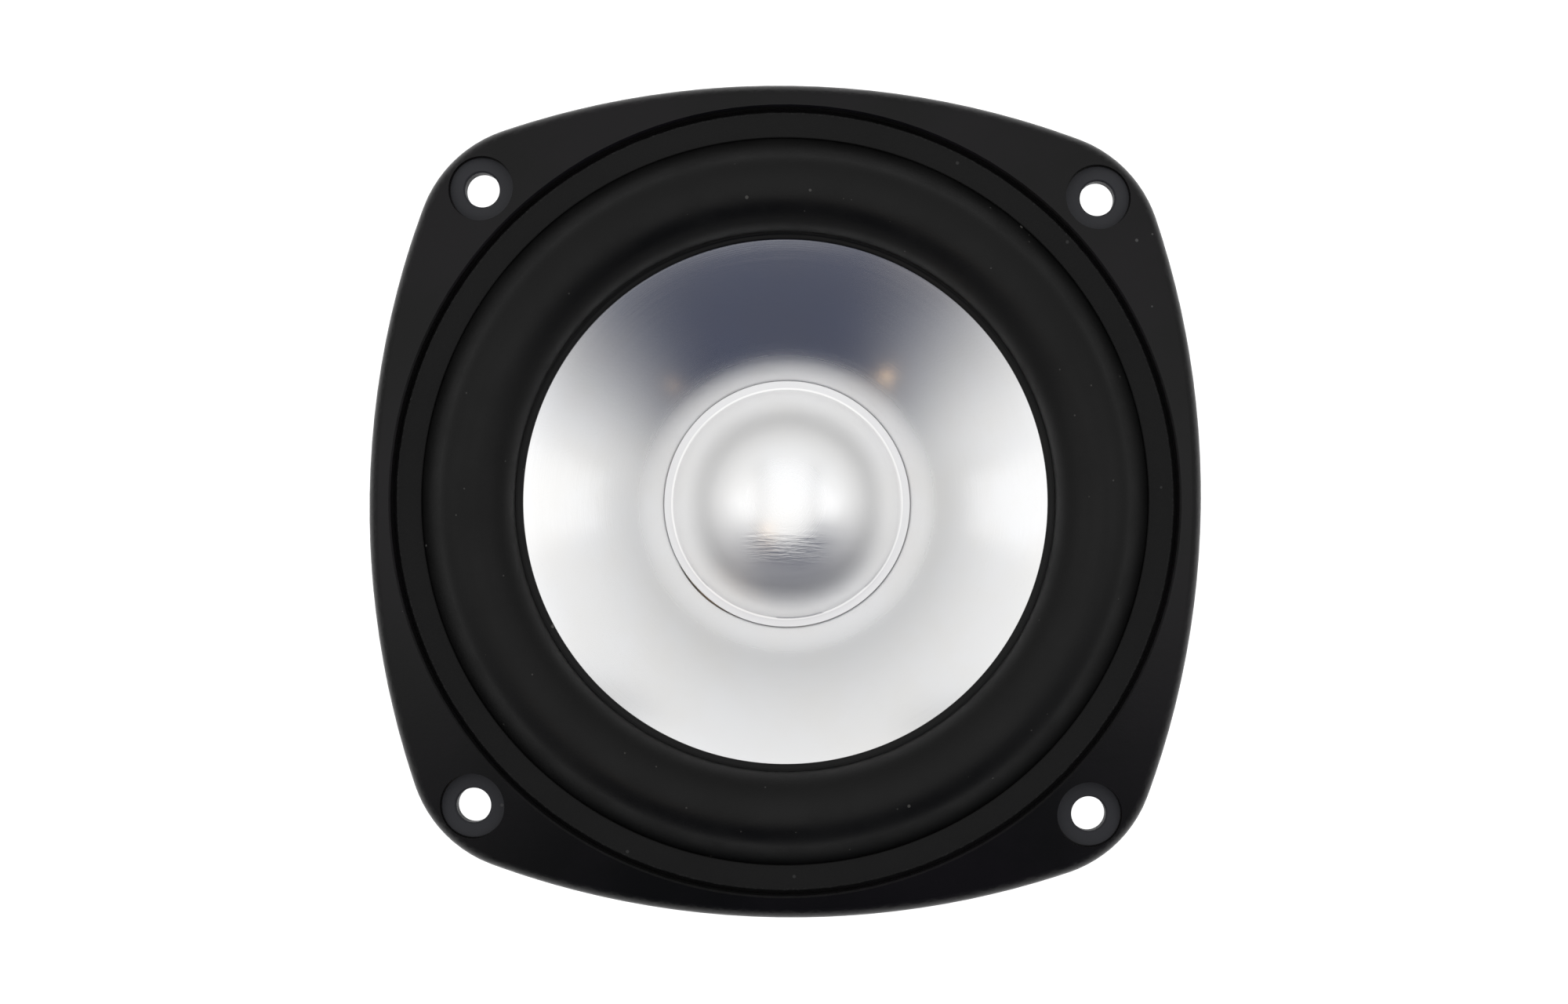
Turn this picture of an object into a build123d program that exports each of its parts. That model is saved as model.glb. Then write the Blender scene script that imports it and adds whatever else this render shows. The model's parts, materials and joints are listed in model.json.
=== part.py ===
from build123d import *
import math
import os

# A small car woofer. Millimetres, +Z out of the front, z = 0 on the flange's rear face,
# which is the face that seats on the baffle, with the origin on the speaker's axis.

# Flange and recess
frame_width = 120.0  # across the flange's sides
corner_overhang = 9.0  # how much further the corners reach than the sides
corner_radius = 18.0
rim_width = 3.3  # flange metal between its side and the recess
flange_height = 5.4  # front of the flange at the recess
flange_crown = 2.6  # fall of the front from the recess out to the corners
crown_share = 0.44  # of that fall, half-way out
flange_edge_radius = 1.8
recess_floor = 2.6
recess_bevel = 0.3
hole_inset = 6.07  # mounting hole centre, in from the corner's tip
hole_diameter = 5.0
hole_chamfer = 0.25
counterbore_diameter = 9.5
counterbore_floor = 2.5

# Basket behind the flange
pilot_depth = 4.0  # full cylinder that drops into the baffle's cut-out
pilot_wall = 2.2
pilot_clearance = 1.6  # surround's roll edge to the bore of the pilot wall
spider_depth = 17.0  # baffle face to the ledge that carries the spider
ledge_thickness = 2.0
basket_wall = 2.6  # measured across, at one height
plate_gap = 9.5  # spider ledge down to the top plate
seat_thickness = 2.0  # ring that the top plate is screwed to
drum_wall = 2.2
window_count = 6
window_arc = 40.0
window_sill = 1.0  # metal left above the spider ledge and below the pilot
window_corner = 1.6
vent_size = (7.0, 2.6)
rib_thickness = 2.4
rib_head = 1.5  # rib's height at the pilot
rib_foot = 3.0  # rib's reach beyond the drum
foot_share = 0.6  # where the leg's outside meets the ledge, down the ledge's thickness
cut_margin = 2.0  # how far cutters reach past the metal

# Suspension
gasket_gap = 0.7  # recess wall to the clamping ring
gasket_width = 3.7
gasket_thickness = 1.2
gasket_edge_radius = 0.25
rubber_thickness = 0.8
crease_width = 0.9  # flat rubber between the clamping ring and the roll
roll_width = 12.6
roll_height = 5.6
lip_width = 0.9  # rubber glued over the cone's edge
spider_radius = 37.4
spider_thickness = 0.5
spider_half_waves = 6
spider_wave_angle = 65.0
spider_inner_flat = 2.5
spider_outer_flat = 5.2
spider_edge_clearance = 0.6  # to the basket's wall
ledge_margin = 0.3  # last corrugation to the ledge's bore

# Cone, dust cap and voice coil
cone_thickness = 0.4
cone_flare = 1.0  # how far the flare bows out from a straight cone
cone_rim_overlap = 0.6
neck_height = 1.8
neck_above_spider = 4.5
former_bore = 32.0
former_wall = 0.25
collar_wall = 0.25
collar_below_spider = 0.6
winding_thickness = 0.8
winding_length = 14.0
winding_margin = 1.0
brim_overlap = 2.1  # brim edge beyond the former
brim_width = 1.35
cap_thickness = 0.3
dome_height = 8.0
pad_size = (3.0, 2.6, 0.7)
pad_angle = 60.0
pad_root = 0.3  # how deep each pad's flat back starts inside the collar's curve
pad_lift = 0.4  # pads' middle above half-way between the spider and the cone
bead_gap = 0.3  # collar to the bead of adhesive
bead_setback = 0.25  # bead's edge in from the brim's
bead_toe = 0.05  # bead's lower face above the cone
former_top_gap = 0.3  # former's top edge to the brim

# Motor
plate_radius = 35.0
plate_thickness = 6.0
magnet_radius = 40.0
magnet_bore = 42.0
magnet_thickness = 15.0
gap_clearance = 0.45  # winding to the top plate
former_clearance = 0.5  # former to the shorting cap
cap_wall = 0.3
cap_skirt = 4.0  # shorting cap's reach below the top plate
pole_rise = 1.0  # pole above the top plate
vent_bore = 10.0
vent_chamfer = 1.2
plate_chamfer = 0.5
magnet_chamfer = 0.8
back_chamfer = 0.8
screen_radius = 6.5
screen_thickness = 0.8
screen_seat = 0.2  # screen's face in from the back plate's
screen_rim = 1.9  # solid ring around the bars
screen_pitch = 1.6
screen_bars = 6
screen_wire = 0.4
seat_clearance = 1.3  # winding to the bore of the screwed ring
screw_count = 4
screw_diameter = 3.0
screw_head_radius = 2.8
screw_head_height = 1.8
screw_clearance = 0.2
screw_grip = 4.0
slot_size = (3.2, 0.7)  # each stroke of the cross in a screw's head
slot_depth = 1.0

# Terminals
board_size = (28.0, 11.2, 1.6)
board_rise = 5.2  # board's top above the spider ledge
board_gap = 0.262  # terminal board to the leg behind it
board_corner = 1.0
boss_width = 14.0
tab_length = 15.0
tab_thickness = 0.8
tab_spacing = 20.0
tab_widths = {"positive": 6.3, "negative": 4.8}
tab_top_margin = 1.4
tab_inset = 0.4  # tab's end in from the board's top edge
tab_corner = 0.8
tab_hole_radius = 0.8
tab_hole_inset = 3.5
rivet_radius = 1.2
rivet_head_radius = 2.0
rivet_head_height = 0.6
rivet_grip = 3.0  # board rivets' depth in the boss
solder_radius = 1.5
solder_height = 0.6

# Braided leads, from the pads on the coil to the tabs: one route, mirrored for the other lead
lead_diameter = 1.6
bend_share = 0.45  # share of a straight run that one bend may use up
lead_route = [
    (8.6, -14.896, -14.2),
    (10.8, -18.706, -14.2),
    (11.8, -26.0, -10.6),
    (11.6, -34.5, -9.8),
    (10.0, -40.6, -13.6),
    (10.0, -44.8, -13.6),
]

# Foam gasket in the flange's rear face
groove_margin = 1.5
groove_width = 3.0
groove_depth = 1.0

# Derived places
half_width = frame_width / 2
corner_reach = half_width + corner_overhang
recess_radius = half_width - rim_width
hole_spacing = math.sqrt(2) * (corner_reach - hole_inset)
gasket_outer = recess_radius - gasket_gap
gasket_inner = gasket_outer - gasket_width
roll_outer = gasket_inner - crease_width
roll_inner = roll_outer - roll_width
cone_edge = roll_inner - lip_width
cone_rim = roll_inner + cone_rim_overlap
surround_bottom = recess_floor
surround_top = surround_bottom + rubber_thickness
pilot_bore = roll_outer - pilot_clearance
pilot_radius = pilot_bore + pilot_wall
ledge_z = -spider_depth
ledge_bore = spider_radius - spider_outer_flat + ledge_margin
ledge_wall = spider_radius + spider_edge_clearance
drum_radius = ledge_bore + drum_wall
plate_z = ledge_z - plate_gap
seat_z = plate_z + seat_thickness
former_radius = former_bore / 2
former_outer = former_radius + former_wall
collar_outer = former_outer + collar_wall
winding_outer = former_outer + winding_thickness
plate_bore = winding_outer + gap_clearance
seat_bore = winding_outer + seat_clearance
screw_circle = (seat_bore + ledge_bore) / 2
magnet_z = plate_z - plate_thickness
back_z = magnet_z - magnet_thickness
rear_z = back_z - plate_thickness
winding_bottom = plate_z - plate_thickness / 2 - winding_length / 2
former_bottom = winding_bottom - winding_margin
neck_bottom = ledge_z + neck_above_spider
neck_top = neck_bottom + neck_height
brim_radius = former_outer + brim_overlap
dome_radius = brim_radius - brim_width
shorting_radius = former_radius - former_clearance
pole_radius = shorting_radius - cap_wall
pole_top = plate_z + pole_rise
board_top = ledge_z + board_rise
leg_foot = (ledge_wall + basket_wall, ledge_z - ledge_thickness * foot_share)
leg_slope = (pilot_radius - leg_foot[0]) / (-pilot_depth - leg_foot[1])
board_back = leg_foot[0] + leg_slope * (board_top - leg_foot[1]) + board_gap
board_front = board_back + board_size[2]
board_bottom = board_top - board_size[1]
tab_top = board_top - tab_inset
rivet_z = tab_top - tab_top_margin
groove_inner = pilot_radius + groove_margin

os.makedirs("parts", exist_ok=True)


def save(part, name):
    part.label = name
    export_step(part, f"parts/{name}.step")


def turned(point, quarter):
    """A point of the first quadrant, turned to another quadrant."""
    return Vector(*point).rotate(Axis.Z, 90 * quarter)


def ring(outer, inner, bottom, height):
    """A plain flat ring."""
    with BuildPart() as made:
        with BuildSketch(Plane.XY.offset(bottom)):
            Circle(outer)
            Circle(inner, mode=Mode.SUBTRACT)
        extrude(amount=height)
    return made


def revolved(points):
    """A solid turned from a closed polygon of (radius, height) points."""
    with BuildPart() as made:
        with BuildSketch(Plane.XZ):
            with BuildLine():
                Polyline(*points, close=True)
            make_face()
        revolve(axis=Axis.Z)
    return made


# Outline of the flange: four long side arcs and four corner arcs, tangent to each other
corner_centre = (corner_reach - corner_radius) / math.sqrt(2)
side_to_centre = corner_centre - half_width
side_radius = (corner_radius**2 - side_to_centre**2 - corner_centre**2) / (
    2 * (side_to_centre + corner_radius)
)
tangent_share = side_radius / (side_radius - corner_radius)
tangent_point = (
    half_width - side_radius + (side_to_centre + side_radius) * tangent_share,
    corner_centre * tangent_share,
)
corner_tip = (corner_reach / math.sqrt(2), corner_reach / math.sqrt(2))

# Window cutter: a sector of a ring, with its four radial edges rounded
window_top = -pilot_depth - window_sill
window_bottom = ledge_z + window_sill
with BuildPart() as window_cutter:
    with BuildSketch(Plane.XZ):
        with Locations((ledge_wall - cut_margin, window_bottom)):
            Rectangle(
                pilot_radius + 2 * cut_margin - ledge_wall,
                window_top - window_bottom,
                align=(Align.MIN, Align.MIN),
            )
    revolve(axis=Axis.Z, revolution_arc=window_arc)
    radial_edges = (
        window_cutter.edges()
        .filter_by(GeomType.LINE)
        .filter_by(Axis.Z, reverse=True)
    )
    fillet(radial_edges, window_corner)

# Basket: flange, pilot, open conical wall, spider ledge, drum and screwed ring, in one casting
with BuildPart() as basket:
    with BuildSketch():
        with BuildLine():
            for quarter in range(4):
                side = [(tangent_point[0], -tangent_point[1]), (half_width, 0), tangent_point]
                ThreePointArc(*[turned(point, quarter) for point in side])
                corner = [tangent_point, corner_tip, tangent_point[::-1]]
                ThreePointArc(*[turned(point, quarter) for point in corner])
        make_face()
    extrude(amount=flange_height + cut_margin)
    with BuildSketch(Plane.XZ):
        with BuildLine():
            crown_middle = (recess_radius + corner_reach) / 2
            ThreePointArc(
                (recess_radius, flange_height),
                (crown_middle, flange_height - flange_crown * crown_share),
                (corner_reach, flange_height - flange_crown),
            )
            Polyline(
                (corner_reach, flange_height - flange_crown),
                (corner_reach + cut_margin, flange_height - flange_crown),
                (corner_reach + cut_margin, 0),
                (0, 0),
                (0, flange_height),
                (recess_radius, flange_height),
            )
        make_face()
    revolve(axis=Axis.Z, mode=Mode.INTERSECT)
    front_edges = basket.edges().filter_by(lambda edge: edge.center().Z > 1)
    outer_edges = front_edges.filter_by(lambda edge: edge.length < 1.5 * frame_width)
    fillet(outer_edges.filter_by(GeomType.CIRCLE, reverse=True), flange_edge_radius)
    with BuildSketch(Plane.XZ):
        with BuildLine():
            Polyline(
                (0, 0),
                (pilot_radius, 0),
                (pilot_radius, -pilot_depth),
                leg_foot,
                (ledge_wall + basket_wall, ledge_z - ledge_thickness),
                (drum_radius, ledge_z - ledge_thickness),
                (drum_radius, plate_z),
                (0, plate_z),
                close=True,
            )
        make_face()
    revolve(axis=Axis.Z)
    # Stiffening ribs on the legs, except the one that carries the terminals
    for leg in range(window_count - 1):
        leg_angle = -90 + (leg + 1) * 360 / window_count
        with BuildSketch(Plane.XZ.rotated((0, 0, leg_angle))):
            with BuildLine():
                Polyline(
                    (ledge_wall, -pilot_depth),
                    (pilot_radius, -pilot_depth),
                    (pilot_radius, -pilot_depth - rib_head),
                    (drum_radius + rib_foot, seat_z),
                    (drum_radius - drum_wall / 2, seat_z),
                    close=True,
                )
            make_face()
        extrude(amount=rib_thickness / 2, both=True)
    # Boss for the terminal board
    with BuildSketch(Plane.XY.offset(board_bottom)):
        with Locations((0, -board_back)):
            Rectangle(boss_width, board_back - ledge_bore, align=(Align.CENTER, Align.MIN))
    extrude(amount=board_size[1])
    # Inside of the basket, open at the front
    with BuildSketch(Plane.XZ):
        with BuildLine():
            Polyline(
                (0, flange_height + cut_margin),
                (recess_radius + recess_bevel + cut_margin, flange_height + cut_margin),
                (recess_radius + recess_bevel, flange_height),
                (recess_radius, flange_height - recess_bevel),
                (recess_radius, recess_floor),
                (pilot_bore, recess_floor),
                (pilot_bore, -pilot_depth),
                (ledge_wall, ledge_z),
                (ledge_bore, ledge_z),
                (ledge_bore, seat_z),
                (seat_bore, seat_z),
                (seat_bore, plate_z - cut_margin),
                (0, plate_z - cut_margin),
                close=True,
            )
        make_face()
    revolve(axis=Axis.Z, mode=Mode.SUBTRACT)
    with PolarLocations(0, window_count, start_angle=-window_arc / 2):
        add(window_cutter.part, mode=Mode.SUBTRACT)
    # Vents in the drum, below each window
    vent_z = (ledge_z - ledge_thickness + seat_z) / 2
    for window in range(window_count):
        vent_plane = Plane.XZ.rotated((0, 0, window * 360 / window_count + 90))
        with BuildSketch(vent_plane.offset(ledge_bore - cut_margin)):
            with Locations((0, vent_z)):
                RectangleRounded(vent_size[0], vent_size[1], vent_size[1] * 0.3)
        extrude(amount=drum_wall + 2 * cut_margin, mode=Mode.SUBTRACT)
    # Mounting holes with counterbores
    with BuildSketch():
        with GridLocations(hole_spacing, hole_spacing, 2, 2):
            Circle(hole_diameter / 2)
    extrude(amount=flange_height, mode=Mode.SUBTRACT)
    with BuildSketch(Plane.XY.offset(counterbore_floor)):
        with GridLocations(hole_spacing, hole_spacing, 2, 2):
            Circle(counterbore_diameter / 2)
    extrude(amount=flange_height, mode=Mode.SUBTRACT)
    hole_edges = basket.edges().filter_by(GeomType.CIRCLE)
    hole_rims = hole_edges.filter_by(lambda edge: abs(edge.radius - hole_diameter / 2) < 0.01)
    floor_rims = hole_rims.filter_by_position(Axis.Z, counterbore_floor, counterbore_floor)
    chamfer(floor_rims, hole_chamfer)
    # Groove for the foam gasket
    with BuildSketch():
        Circle(groove_inner + groove_width)
        Circle(groove_inner, mode=Mode.SUBTRACT)
    extrude(amount=groove_depth, mode=Mode.SUBTRACT)
    # Screw holes in the ring under the spider, and rivet holes in the boss
    with BuildSketch(Plane.XY.offset(plate_z)):
        with PolarLocations(screw_circle, screw_count, start_angle=45):
            Circle(screw_diameter / 2 + screw_clearance)
    extrude(amount=seat_thickness, mode=Mode.SUBTRACT)
    with BuildSketch(Plane.XZ.offset(board_back)):
        with Locations((0, (board_top + board_bottom) / 2)):
            with GridLocations(boss_width / 2, 0, 2, 1):
                Circle(rivet_radius)
    extrude(amount=-rivet_grip, mode=Mode.SUBTRACT)
save(basket.part, "basket")

# Foam gasket on the rear of the flange, and the ring that clamps the surround in front
save(ring(groove_inner + groove_width, groove_inner, 0, groove_depth).part, "baffle_gasket")
with BuildPart() as surround_gasket:
    with BuildSketch(Plane.XY.offset(surround_top)):
        Circle(gasket_outer)
        Circle(gasket_inner, mode=Mode.SUBTRACT)
    extrude(amount=gasket_thickness)
    fillet(surround_gasket.edges().group_by(Axis.Z)[-1], gasket_edge_radius)
save(surround_gasket.part, "surround_gasket")

# Surround: half-roll of rubber with a flat outer lip and a narrow inner lip
roll_middle = (roll_inner + roll_outer) / 2
with BuildPart() as surround:
    with BuildSketch(Plane.XZ):
        with BuildLine():
            Line((cone_edge, surround_top), (roll_inner, surround_top))
            ThreePointArc(
                (roll_inner, surround_top),
                (roll_middle, surround_top + roll_height),
                (roll_outer, surround_top),
            )
            Polyline(
                (roll_outer, surround_top),
                (gasket_outer, surround_top),
                (gasket_outer, surround_bottom),
                (roll_outer - rubber_thickness, surround_bottom),
            )
            ThreePointArc(
                (roll_outer - rubber_thickness, surround_bottom),
                (roll_middle, surround_top + roll_height - rubber_thickness),
                (roll_inner + rubber_thickness, surround_bottom),
            )
            Polyline(
                (roll_inner + rubber_thickness, surround_bottom),
                (cone_edge, surround_bottom),
                (cone_edge, surround_top),
            )
        make_face()
    revolve(axis=Axis.Z)
save(surround.part, "surround")

# Cone: the front face is one arc from the neck to the edge, then a flat rim under the surround
cone_chord = Vector(cone_edge - collar_outer, surround_bottom - neck_top)
flare_radius = (cone_chord.length**2 / 4 + cone_flare**2) / (2 * cone_flare)
flare_normal = Vector(-cone_chord.Y, cone_chord.X).normalized()
flare_middle = Vector(collar_outer, neck_top) + cone_chord * 0.5 + flare_normal * cone_flare
flare_centre = flare_middle - flare_normal * flare_radius


def cone_front(radius):
    """Height of the cone's front face."""
    return flare_centre.Y + math.sqrt(flare_radius**2 - (radius - flare_centre.X) ** 2)


with BuildPart() as cone:
    with BuildSketch(Plane.XZ):
        with BuildLine():
            ThreePointArc(
                (collar_outer, neck_top),
                (flare_middle.X, flare_middle.Y),
                (cone_edge, surround_bottom),
            )
            Polyline(
                (cone_edge, surround_bottom),
                (cone_rim, surround_bottom),
                (cone_rim, surround_bottom - cone_thickness),
                (cone_edge, surround_bottom - cone_thickness),
            )
            ThreePointArc(
                (cone_edge, surround_bottom - cone_thickness),
                (
                    flare_middle.X - flare_normal.X * cone_thickness,
                    flare_middle.Y - flare_normal.Y * cone_thickness,
                ),
                (collar_outer + cone_thickness, neck_top - cone_thickness),
            )
            Polyline(
                (collar_outer + cone_thickness, neck_top - cone_thickness),
                (collar_outer + cone_thickness, neck_bottom),
                (collar_outer, neck_bottom),
                (collar_outer, neck_top),
            )
        make_face()
    revolve(axis=Axis.Z)
save(cone.part, "cone")

# Dust cap: a domed disc with a flat brim whose edge rests on the cone, over a bead of adhesive
brim_z = cone_front(brim_radius)
brim_top = brim_z + cap_thickness
dome_top = brim_top + dome_height
with BuildPart() as dust_cap:
    with BuildSketch(Plane.XZ):
        with BuildLine():
            outer_arc = RadiusArc(
                (0, dome_top),
                (dome_radius, brim_top),
                (dome_radius**2 + dome_height**2) / (2 * dome_height),
            )
            Polyline(
                (dome_radius, brim_top),
                (brim_radius, brim_top),
                (brim_radius, brim_z),
                (dome_radius - cap_thickness, brim_z),
            )
            inner_reach = dome_radius - cap_thickness
            inner_arc = RadiusArc(
                (inner_reach, brim_z),
                (0, dome_top - cap_thickness),
                -(inner_reach**2 + dome_height**2) / (2 * dome_height),
            )
            Line((0, dome_top - cap_thickness), (0, dome_top))
        make_face()
    revolve(axis=Axis.Z)
save(dust_cap.part, "dust_cap")

bead_inner = collar_outer + bead_gap
bead_outer = brim_radius - bead_setback
bead = revolved(
    [
        (bead_inner, cone_front(bead_inner) + bead_toe),
        (bead_outer, brim_z),
        (bead_inner, brim_z),
    ]
)
save(bead.part, "dust_cap_adhesive")

# Voice coil on its former, with the band that the cone and the spider are glued to
former_top = brim_z - former_top_gap
former_height = former_top - former_bottom
save(ring(former_outer, former_radius, former_bottom, former_height).part, "coil_former")
save(ring(winding_outer, former_outer, winding_bottom, winding_length).part, "coil_winding")
collar_bottom = ledge_z - collar_below_spider
collar_height = neck_top - collar_bottom
save(ring(collar_outer, former_outer, collar_bottom, collar_height).part, "coil_collar")

# Pads on the coil where the leads are soldered
pad_middle = (neck_bottom + ledge_z + spider_thickness) / 2 + pad_lift
with BuildPart() as lead_pads:
    for pad_turn in (-90 + pad_angle / 2, -90 - pad_angle / 2):
        with Locations(Location((0, 0, pad_middle), (0, 0, pad_turn))):
            with Locations((collar_outer - pad_root, 0, 0)):
                Box(
                    pad_size[2] + pad_root,
                    pad_size[0],
                    pad_size[1],
                    align=(Align.MIN, Align.CENTER, Align.CENTER),
                )
    with BuildSketch(Plane.XY.offset(pad_middle - pad_size[1])):
        Circle(collar_outer)
    extrude(amount=2 * pad_size[1], mode=Mode.SUBTRACT)
save(lead_pads.part, "lead_pads")

# Spider: a pressed disc of alternating arcs between a flat at the coil and a flat on the ledge
wave_start = collar_outer + spider_inner_flat
wave_end = spider_radius - spider_outer_flat
wave_step = (wave_end - wave_start) / spider_half_waves
wave_angle = math.radians(spider_wave_angle)
wave_height = wave_step / 2 * math.tan(wave_angle / 2)
spider_z = ledge_z + spider_thickness / 2


def spider_side(offset):
    """Start, middle and end of every arc on one side of the spider's sheet."""
    arcs = []
    for index in range(spider_half_waves):
        sign = 1 if index % 2 == 0 else -1
        start = wave_start + index * wave_step
        lean = sign * offset * math.sin(wave_angle)
        rise = spider_z + offset * math.cos(wave_angle)
        middle = (start + wave_step / 2, spider_z + sign * wave_height + offset)
        arcs.append([(start - lean, rise), middle, (start + wave_step + lean, rise)])
    return arcs


with BuildPart() as spider:
    with BuildSketch(Plane.XZ):
        with BuildLine():
            upper = spider_side(spider_thickness / 2)
            lower = spider_side(-spider_thickness / 2)
            spider_top = spider_z + spider_thickness / 2
            spider_bottom = spider_z - spider_thickness / 2
            for arc in upper + lower:
                ThreePointArc(*arc)
            Polyline(
                upper[0][0],
                (wave_start - spider_thickness, spider_top),
                (collar_outer, spider_top),
                (collar_outer, spider_bottom),
                (wave_start - spider_thickness, spider_bottom),
                lower[0][0],
            )
            Polyline(
                upper[-1][2],
                (wave_end + spider_thickness, spider_top),
                (spider_radius, spider_top),
                (spider_radius, spider_bottom),
                (wave_end + spider_thickness, spider_bottom),
                lower[-1][2],
            )
        make_face()
    revolve(axis=Axis.Z)
save(spider.part, "spider")

# Magnet system: top plate, ferrite ring, back plate, pole and its copper cap
with BuildPart() as top_plate:
    with BuildSketch(Plane.XY.offset(magnet_z)):
        Circle(plate_radius)
        Circle(plate_bore, mode=Mode.SUBTRACT)
    extrude(amount=plate_thickness)
    with BuildSketch(Plane.XY.offset(plate_z - screw_grip)):
        with PolarLocations(screw_circle, screw_count, start_angle=45):
            Circle(screw_diameter / 2)
    extrude(amount=screw_grip, mode=Mode.SUBTRACT)
    plate_edges = top_plate.edges().filter_by(GeomType.CIRCLE)
    chamfer(plate_edges.filter_by(lambda edge: edge.radius > plate_bore + 1), plate_chamfer)
save(top_plate.part, "top_plate")

with BuildPart() as magnet:
    with BuildSketch(Plane.XY.offset(back_z)):
        Circle(magnet_radius)
        Circle(magnet_bore / 2, mode=Mode.SUBTRACT)
    extrude(amount=magnet_thickness)
    chamfer(magnet.edges().filter_by(GeomType.CIRCLE), magnet_chamfer)
save(magnet.part, "magnet")

with BuildPart() as back_plate:
    with BuildSketch(Plane.XY.offset(rear_z)):
        Circle(plate_radius)
        Circle(vent_bore / 2, mode=Mode.SUBTRACT)
    extrude(amount=plate_thickness)
    with BuildSketch(Plane.XY.offset(rear_z)):
        Circle(screen_radius)
    extrude(amount=screen_seat + screen_thickness, mode=Mode.SUBTRACT)
    plate_edges = back_plate.edges().filter_by(GeomType.CIRCLE)
    chamfer(plate_edges.filter_by(lambda edge: edge.radius > screen_radius + 1), back_chamfer)
save(back_plate.part, "back_plate")

pole = revolved(
    [
        (vent_bore / 2, back_z),
        (pole_radius, back_z),
        (pole_radius, pole_top),
        (vent_bore / 2 + vent_chamfer, pole_top),
        (vent_bore / 2, pole_top - vent_chamfer),
    ]
)
save(pole.part, "pole_piece")

shorting_cap = revolved(
    [
        (pole_radius, magnet_z - cap_skirt),
        (shorting_radius, magnet_z - cap_skirt),
        (shorting_radius, pole_top + cap_wall),
        (vent_bore / 2 + vent_chamfer, pole_top + cap_wall),
        (vent_bore / 2 + vent_chamfer, pole_top),
        (pole_radius, pole_top),
    ]
)
save(shorting_cap.part, "shorting_cap")

# Screen over the pole's vent: a thin ring with a grid of bars
with BuildPart() as vent_screen:
    with BuildSketch(Plane.XY.offset(rear_z + screen_seat)):
        Circle(screen_radius)
    extrude(amount=screen_thickness)
    with BuildSketch(Plane.XY.offset(rear_z + screen_seat)):
        Circle(screen_radius - screen_rim)
        with GridLocations(screen_pitch, screen_pitch, screen_bars, screen_bars):
            Rectangle(screen_pitch, screen_wire, mode=Mode.SUBTRACT)
            Rectangle(screen_wire, screen_pitch, mode=Mode.SUBTRACT)
    extrude(amount=screen_thickness, mode=Mode.SUBTRACT)
save(vent_screen.part, "pole_vent_screen")

# Screws that hold the top plate to the basket
with BuildPart() as plate_screws:
    with PolarLocations(screw_circle, screw_count, start_angle=45):
        with Locations((0, 0, seat_z)):
            Cylinder(
                screw_head_radius,
                screw_head_height,
                align=(Align.CENTER, Align.CENTER, Align.MIN),
            )
            Cylinder(
                screw_diameter / 2,
                seat_thickness + screw_grip,
                align=(Align.CENTER, Align.CENTER, Align.MAX),
            )
        with Locations((0, 0, seat_z + screw_head_height)):
            Box(slot_size[0], slot_size[1], 2 * slot_depth, mode=Mode.SUBTRACT)
            Box(slot_size[1], slot_size[0], 2 * slot_depth, mode=Mode.SUBTRACT)
save(plate_screws.part, "plate_screws")

# Terminal board on its boss, two spade tabs, and the rivets and solder that join them
board_middle = (board_top + board_bottom) / 2
with BuildPart() as terminal_board:
    with BuildSketch(Plane.XZ.offset(board_back)):
        with Locations((0, board_middle)):
            RectangleRounded(board_size[0], board_size[1], board_corner)
            with GridLocations(boss_width / 2, 0, 2, 1):
                Circle(rivet_radius, mode=Mode.SUBTRACT)
        with Locations((0, rivet_z)):
            with GridLocations(tab_spacing, 0, 2, 1):
                Circle(rivet_radius, mode=Mode.SUBTRACT)
    extrude(amount=board_size[2])
save(terminal_board.part, "terminal_board")

for side, (polarity, tab_width) in zip((1, -1), tab_widths.items()):
    with BuildPart() as tab:
        with BuildSketch(Plane.XZ.offset(board_front)):
            with Locations((side * tab_spacing / 2, tab_top - tab_length / 2)):
                RectangleRounded(tab_width, tab_length, tab_corner)
            with Locations((side * tab_spacing / 2, rivet_z)):
                Circle(rivet_radius, mode=Mode.SUBTRACT)
            with Locations((side * tab_spacing / 2, tab_top - tab_length + tab_hole_inset)):
                Circle(tab_hole_radius, mode=Mode.SUBTRACT)
        extrude(amount=tab_thickness)
    save(tab.part, f"terminal_{polarity}")

with BuildPart() as terminal_rivets:
    with BuildSketch(Plane.XZ.offset(board_back - rivet_head_height)):
        with Locations((0, rivet_z)):
            with GridLocations(tab_spacing, 0, 2, 1):
                Circle(rivet_head_radius)
    extrude(amount=rivet_head_height)
    with BuildSketch(Plane.XZ.offset(board_back)):
        with Locations((0, rivet_z)):
            with GridLocations(tab_spacing, 0, 2, 1):
                Circle(rivet_radius)
    extrude(amount=board_size[2] + tab_thickness)
    with BuildSketch(Plane.XZ.offset(board_front + tab_thickness)):
        with Locations((0, rivet_z)):
            with GridLocations(tab_spacing, 0, 2, 1):
                Circle(rivet_head_radius)
    extrude(amount=rivet_head_height)
save(terminal_rivets.part, "terminal_rivets")

with BuildPart() as board_rivets:
    with BuildSketch(Plane.XZ.offset(board_back - rivet_grip)):
        with Locations((0, board_middle)):
            with GridLocations(boss_width / 2, 0, 2, 1):
                Circle(rivet_radius)
    extrude(amount=rivet_grip + board_size[2])
    with BuildSketch(Plane.XZ.offset(board_front)):
        with Locations((0, board_middle)):
            with GridLocations(boss_width / 2, 0, 2, 1):
                Circle(rivet_head_radius)
    extrude(amount=rivet_head_height)
save(board_rivets.part, "board_rivets")

with BuildPart() as solder_joints:
    with BuildSketch(Plane.XZ.offset(board_back - rivet_head_height - solder_height)):
        with Locations((0, rivet_z)):
            with GridLocations(tab_spacing, 0, 2, 1):
                Circle(solder_radius)
    extrude(amount=solder_height)
save(solder_joints.part, "solder_joints")


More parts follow.
